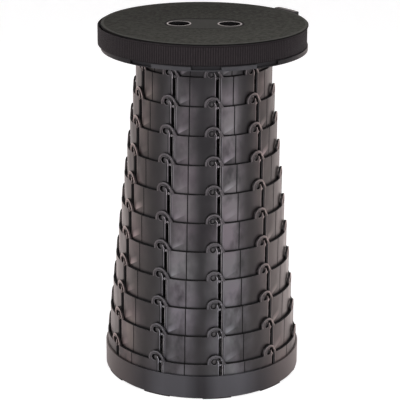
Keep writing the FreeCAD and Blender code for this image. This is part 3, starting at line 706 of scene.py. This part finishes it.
def foot_rubber():
    """Matt black rubber."""
    material, tree, shader = new_material("foot_rubber", 0.85, 0.3)
    dust = noise(object_place(tree), 200.0, 4.0)
    colour = mix_colour(dust, (0.020, 0.019, 0.019, 1), (0.055, 0.052, 0.050, 1))
    connect(colour, shader.inputs["Base Color"])
    connect(bump(dust, 0.0001, 0.6, rounded_edges(tree)), shader.inputs["Normal"])
    return material


# Ring trim

def on_wall(radius, across, height, column, proud=0.0):
    """Point on a ring's wall, across from the slot of a column, at a height in the row frame."""
    lean = math.asin(across / radius)
    point = direction(COLUMN_ANGLE + column * COLUMN_STEP + lean) * (radius + proud)
    point.z = height
    return point


def tongue_path(edge):
    """Middle line of the bead inside a tongue's outline, as (across, height) pairs."""
    inset = BEAD_WIDTH / 2 + BEAD_INSET
    centre = Vector((TONGUE_RADIUS - TONGUE_LEFT, edge + TONGUE_HEIGHT - TONGUE_RADIUS))
    foot = Vector((TONGUE_RIGHT, edge))
    reach = foot - centre
    tangent_angle = math.atan2(reach.y, reach.x) + math.acos(TONGUE_RADIUS / reach.length)
    radius = TONGUE_RADIUS - inset
    path = [(centre.x - radius, edge + height) for height in BEAD_FOOT]
    for index in range(ARCH_STEPS + 1):
        turn = math.pi + (tangent_angle - math.pi) * index / ARCH_STEPS
        path.append((centre.x + radius * math.cos(turn), centre.y + radius * math.sin(turn)))
    inward = Vector((-math.cos(tangent_angle), -math.sin(tangent_angle))) * inset
    path.append((foot.x + inward.x, foot.y + inward.y))
    return path


def circle_path(across, height, radius, count):
    """Closed circle as (across, height) pairs."""
    turns = [math.tau * index / count for index in range(count)]
    return [(across + radius * math.cos(turn), height + radius * math.sin(turn)) for turn in turns]


def pocket_path(edge):
    """Middle line of the bead round a pocket, open towards the slot."""
    circle = circle_path(-POCKET_OFFSET, edge + POCKET_RISE, POCKET_RADIUS + BOSS_WALL / 2, POCKET_POINTS)
    opening = POCKET_RADIUS * POCKET_OPENING - POCKET_OFFSET
    return [point for point in circle if point[0] < opening]


def finger_path(edge):
    """Middle line of the lip on a finger beside the slot."""
    stem = [(FINGER_ROOT[0], height) for height in FINGER_STEM]
    return [(across - LIP_WIDTH / 2, edge + height) for across, height in [FINGER_TIP, FINGER_ROOT] + stem]


def rail_path(bottom, edge):
    """Middle line of the rail in the channel beside a slot."""
    across = SLOT_WIDTH / 2 + RAIL_WIDTH / 2
    return [(across, bottom + SLOT_START), (across, (bottom + edge) / 2), (across, edge)]


def bridge(shape, rows):
    """Walls between neighbouring rows of corners."""
    for first, second in rows:
        for index in range(len(first)):
            after = (index + 1) % len(first)
            shape.faces.new((first[index], first[after], second[after], second[index]))


def close_ends(shape, rows):
    """End faces of a row of cross-sections."""
    shape.faces.new(rows[0])
    shape.faces.new(rows[-1][::-1])


def sweep_bead(shape, path, width, lift, radius, column, closed):
    """Half-round bead along an open or closed path on a wall of some radius."""
    profile = [(-0.5, -0.3), (-0.42, 0.55), (-0.2, 0.95), (0.2, 0.95), (0.42, 0.55), (0.5, -0.3)]
    points = [Vector(point) for point in path]
    rows = []
    for index, point in enumerate(points):
        before = points[index - 1] if index or closed else point
        after = points[(index + 1) % len(points)] if closed or index + 1 < len(points) else point
        along = (after - before).normalized()
        side = Vector((-along.y, along.x))
        row = []
        for offset, height in profile:
            place = point + side * offset * width
            row.append(shape.verts.new(on_wall(radius, place.x, place.y, column, height * lift)))
        rows.append(row)
    bridge(shape, zip(rows, rows[1:]))
    if closed:
        bridge(shape, [(rows[-1], rows[0])])
    else:
        close_ends(shape, rows)


def ring_trim(name, radius, edge, bottom, pegs):
    """Beads of one ring: on its tongues, pockets and fingers, beside its slots and round its pegs."""
    peg_lip = circle_path(0.0, bottom + PEG_LEVEL, PEG_LIP_RADIUS, PEG_POINTS)

    def build(shape):
        beads = [
            (tongue_path(edge), BEAD_WIDTH, BEAD_RISE, radius, False),
            (pocket_path(edge), BOSS_WALL, BOSS_RISE, radius, False),
            (rail_path(bottom, edge), RAIL_WIDTH, RAIL_RISE, radius - CHANNEL_DEPTH, False),
            (finger_path(edge), LIP_WIDTH, BEAD_RISE, radius, False),
        ]
        if pegs:
            beads.append((peg_lip, LIP_WIDTH, BEAD_RISE, radius + PEG_LENGTH, True))
        for column in range(COLUMNS):
            for path, width, lift, foot, closed in beads:
                sweep_bead(shape, path, width, lift, foot, column, closed)
    return object_from(name, build)


def make_ring_trims(plastic):
    """Trim of every ring, riding on its ring."""
    for steps in range(RINGS + 1):
        name = "ring_%02d" % (RINGS + 1 - steps) if steps else "base_ring"
        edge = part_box(name)[1].z - TONGUE_HEIGHT
        radius = BASE_RING_RADIUS - RING_STEP * steps
        trim = ring_trim(name + "_trim", radius, edge, edge - RING_BODY, steps > 0)
        trim.data.materials.append(plastic)
        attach(trim, name if steps else "base")


# Strap

def loop_point(angle, radius):
    """Point of the strap's loop, which stands off on the left, at an angle from the front."""
    point = direction(angle) * radius
    if math.sin(angle) < 0:
        point.x -= STRAP_SLACK
    return point


def band_section(low, high, thickness, lift):
    """Cross-section of webbing with thick selvedges, as (outward, height) pairs."""
    crest = thickness + lift
    dip = thickness + lift * 0.2
    return [
        (0.0, low + SELVEDGE),
        (0.0, high - SELVEDGE),
        (thickness * 0.25, high),
        (thickness * 0.75, high),
        (crest, high - SELVEDGE),
        (dip, high - 2.6 * SELVEDGE),
        (crest, high - 4 * SELVEDGE),
        (crest, (low + high) / 2),
        (crest, low + 4 * SELVEDGE),
        (dip, low + 2.6 * SELVEDGE),
        (crest, low + SELVEDGE),
        (thickness * 0.75, low),
        (thickness * 0.25, low),
    ]


def webbing_band(name, route, low, high):
    """Webbing along a route of (point, outward) pairs, its ribs in the mesh."""
    def build(shape):
        rib = shape.verts.layers.float.new("rib")
        rows = []
        travelled = 0.0
        last = route[0][0]
        for point, outward in route:
            travelled += (point - last).length
            last = point
            wave = 0.5 + 0.5 * math.cos(math.tau * travelled / RIB_PITCH)
            row = []
            for out, height in band_section(low, high, STRAP_THICKNESS - RIB_RISE, RIB_RISE * wave):
                place = point + outward * out
                place.z = height
                row.append(shape.verts.new(place))
                row[-1][rib] = wave
            rows.append(row)
        bridge(shape, zip(rows, rows[1:]))
        close_ends(shape, rows)
    return object_from(name, build)


def route_angles(first, last, radius):
    """Angles along an arc, five to a rib."""
    count = int((last - first) / (RIB_PITCH / 5 / radius))
    return [first + (last - first) * index / count for index in range(count + 1)]


def strap_route():
    """Route of the loop from behind the buckle round the left and the front to the plug."""
    step = RIB_PITCH / 5
    route = []
    previous = None
    for angle in route_angles(STRAP_FOLD_ANGLE, STRAP_START_ANGLE + math.tau, STRAP_INNER):
        point = loop_point(angle, STRAP_INNER)
        outward = direction(angle)
        if previous is not None and (point - previous).length > 4 * step:
            straight = point - previous
            pieces = int(straight.length / step)
            for piece in range(1, pieces):
                route.append((previous + straight * piece / pieces, outward))
        route.append((point, outward))
        previous = point
    return route


def lap_route():
    """Route of the lapped end at the plug."""
    angles = route_angles(LAP_START_ANGLE, LAP_END_ANGLE, STRAP_END_INNER)
    return [(direction(angle) * STRAP_END_INNER, direction(angle)) for angle in angles]


def make_straps(fabric):
    """The strap round the rim and its end at the plug."""
    low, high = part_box("strap")
    strap = webbing_band("strap_webbing", strap_route(), low.z, high.z)
    strap.data.materials.append(fabric)
    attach(strap, "seat")
    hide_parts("strap")
    low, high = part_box("strap_end")
    lap = webbing_band("strap_end_webbing", lap_route(), low.z, high.z)
    lap.data.materials.append(fabric)
    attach(lap, "plug")
    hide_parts("strap_end")


# Buckle

def softened_copy(frame, name, new_name, width):
    """Copy of a model's piece with rounded edges."""
    source = frame["nodes"][name]
    mesh = source.data.copy()
    mesh.name = new_name
    shape = bmesh.new()
    shape.from_mesh(mesh)
    bmesh.ops.remove_doubles(shape, verts=shape.verts, dist=1e-6)
    bmesh.ops.dissolve_limit(shape, angle_limit=math.radians(1), verts=shape.verts, edges=shape.edges)
    shape.to_mesh(mesh)
    shape.free()
    for face in mesh.polygons:
        face.use_smooth = True
    mesh.materials.clear()
    copy = link_object(new_name, mesh)
    rounding = copy.modifiers.new("rounding", "BEVEL")
    rounding.width = width
    rounding.segments = 3
    rounding.limit_method = "ANGLE"
    rounding.angle_limit = math.radians(35)
    rounding.harden_normals = True
    return copy


def make_buckle(frame, plastic):
    """Socket and plug with rounded edges."""
    for name, body in (("buckle_socket", "seat"), ("buckle_plug", "plug")):
        piece = softened_copy(frame, name, name + "_moulded", BUCKLE_ROUNDING)
        piece.data.materials.append(plastic)
        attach(piece, body)
        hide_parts(name)


# Stage, light and camera

def glowing_paper(name, level):
    """Matt grey paper with a glow on top, warm where plastic mirrors it."""
    material, tree, shader = new_material(name, 0.9, 0.1)
    shader.inputs["Base Color"].default_value = grey(level)
    path = tree.nodes.new("ShaderNodeLightPath")
    in_camera = Value(tree, path.outputs["Is Camera Ray"])
    in_mirror = Value(tree, path.outputs["Is Glossy Ray"])
    glow = node(tree, "Emission", Color=mix_colour(in_mirror, WHITE, WARM_WHITE))
    both = tree.nodes.new("ShaderNodeAddShader")
    tree.links.new(shader.outputs[0], both.inputs[0])
    tree.links.new(glow.outputs[0], both.inputs[1])
    tree.links.new(both.outputs[0], tree.nodes["Material Output"].inputs["Surface"])
    return material, glow.inputs["Strength"], in_camera, in_mirror


def make_floor():
    """Pale floor that keeps the stool's shadow."""
    def build(shape):
        bmesh.ops.create_grid(shape, x_segments=1, y_segments=1, size=FLOOR_SIZE)
    floor = object_from("floor", build, smooth=False)
    material, strength, in_camera, in_mirror = glowing_paper("floor_paper", 0.5)
    x, y = parts(object_place(material.node_tree))[:2]
    distance = distance_from_axis(x, y)
    stops = [(0.09, 0.40), (0.15, 0.80), (0.23, 1.20), (0.45, 1.0), (0.65, 0.5), (1.0, 0.35)]
    pools = ramp(distance / POOL_REACH, stops) * rise(y, -0.45, 0.10) * (rise(x, -0.2, 0.2) * 0.24 + 0.70)
    seen = in_camera * 0.78 + in_mirror * pools * POOL_STRENGTH
    connect(seen * above(distance, BASE_RING_RADIUS), strength)
    floor.data.materials.append(material)


def make_backdrop():
    """White paper behind and beside the stool, which its plastic mirrors at its sides."""
    def build(shape):
        rows = []
        for index in range(BACKDROP_PANELS + 1):
            angle = BACKDROP_START + (BACKDROP_END - BACKDROP_START) * index / BACKDROP_PANELS
            foot = direction(angle) * BACKDROP_DISTANCE
            rows.append((shape.verts.new(foot), shape.verts.new(foot + Vector((0, 0, BACKDROP_HEIGHT)))))
        for first, second in zip(rows, rows[1:]):
            shape.faces.new((first[0], second[0], second[1], first[1]))
    paper = object_from("backdrop", build)
    material, strength, in_camera, in_mirror = glowing_paper("backdrop_paper", 0.8)
    connect(largest(in_camera, in_mirror * 0.80), strength)
    paper.data.materials.append(material)


def make_world():
    """Even studio light, white where the camera sees it."""
    world = bpy.data.worlds.new("studio")
    bpy.context.scene.world = world
    world.use_nodes = True
    tree = world.node_tree
    background = tree.nodes["Background"]
    background.inputs["Color"].default_value = WHITE
    path = tree.nodes.new("ShaderNodeLightPath")
    in_camera = Value(tree, path.outputs["Is Camera Ray"])
    through = Value(tree, path.outputs["Is Transmission Ray"])
    connect(largest(in_camera, through) * (1.0 - AIR_LIGHT) + AIR_LIGHT, background.inputs["Strength"])


def soft_light(name, place, target, size, power, colour=(1, 1, 1)):
    """Rectangular soft light aimed at a point."""
    lamp = bpy.data.lights.new(name, "AREA")
    lamp.shape = "RECTANGLE"
    lamp.size, lamp.size_y = size
    lamp.energy = power
    lamp.color = colour
    thing = link_object(name, lamp)
    thing.location = place
    thing.rotation_euler = (Vector(target) - Vector(place)).to_track_quat("-Z", "Y").to_euler()


def make_lights():
    """Tall soft boxes at the sides and behind them, one overhead and a frontal fill."""
    middle = (0, 0, 0.25)
    soft_light("left_box", (-1.5, -1.3, 0.7), middle, (0.5, 1.4), 17, (1.0, 0.93, 0.98))
    soft_light("right_box", (1.5, -1.3, 0.7), middle, (0.5, 1.4), 16, (1.0, 0.94, 1.0))
    soft_light("left_rim", (-1.2, 1.4, 0.5), middle, (0.7, 1.4), 5, RIM_LIGHT)
    soft_light("right_rim", (1.2, 1.4, 0.5), middle, (0.7, 1.4), 5, RIM_LIGHT)
    soft_light("top_box", (0, -0.3, 1.9), middle, (1.4, 1.0), 9)
    soft_light("front_fill", (0.1, -2.4, 0.5), middle, (1.6, 0.7), 9, (0.98, 0.92, 1.0))


def make_camera():
    """Camera at the photograph's viewing angle."""
    data = bpy.data.cameras.new("camera")
    data.sensor_width = 36.0
    data.lens = CAMERA_LENS
    camera = link_object("camera", data)
    aim = Matrix.Rotation(CAMERA_YAW, 4, "Z") @ Matrix.Rotation(math.pi / 2 - CAMERA_PITCH, 4, "X")
    camera.matrix_world = Matrix.Translation(CAMERA_PLACE) @ aim @ Matrix.Rotation(CAMERA_ROLL, 4, "Z")
    bpy.context.scene.camera = camera


def dress_nodes(frame, finishes):
    """Gives every piece of the model the finish of its kind."""
    for name, piece in frame["nodes"].items():
        finish = next(finish for start, finish in FINISH_OF.items() if name.startswith(start))
        piece.data.materials.clear()
        piece.data.materials.append(finishes[finish])


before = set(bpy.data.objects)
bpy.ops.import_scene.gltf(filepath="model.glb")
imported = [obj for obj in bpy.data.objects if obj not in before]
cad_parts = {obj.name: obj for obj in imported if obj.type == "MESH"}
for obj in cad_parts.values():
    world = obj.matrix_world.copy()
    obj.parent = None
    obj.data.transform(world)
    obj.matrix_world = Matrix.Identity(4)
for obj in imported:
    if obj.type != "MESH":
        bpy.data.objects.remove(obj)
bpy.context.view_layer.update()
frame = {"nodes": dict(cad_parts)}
makers = (ring_plastic, collar_plastic, trim_plastic, rim_plastic, seat_plastic, insert_plastic,
          bezel_plastic, webbing, buckle_plastic, screw_steel, foot_rubber)
finishes = {maker.__name__: maker() for maker in makers}
make_camera()
dress_nodes(frame, finishes)
make_ring_trims(finishes["trim_plastic"])
make_straps(finishes["webbing"])
make_buckle(frame, finishes["buckle_plastic"])
make_floor()
make_backdrop()
make_world()
make_lights()
bpy.context.scene.view_settings.view_transform = "Standard"
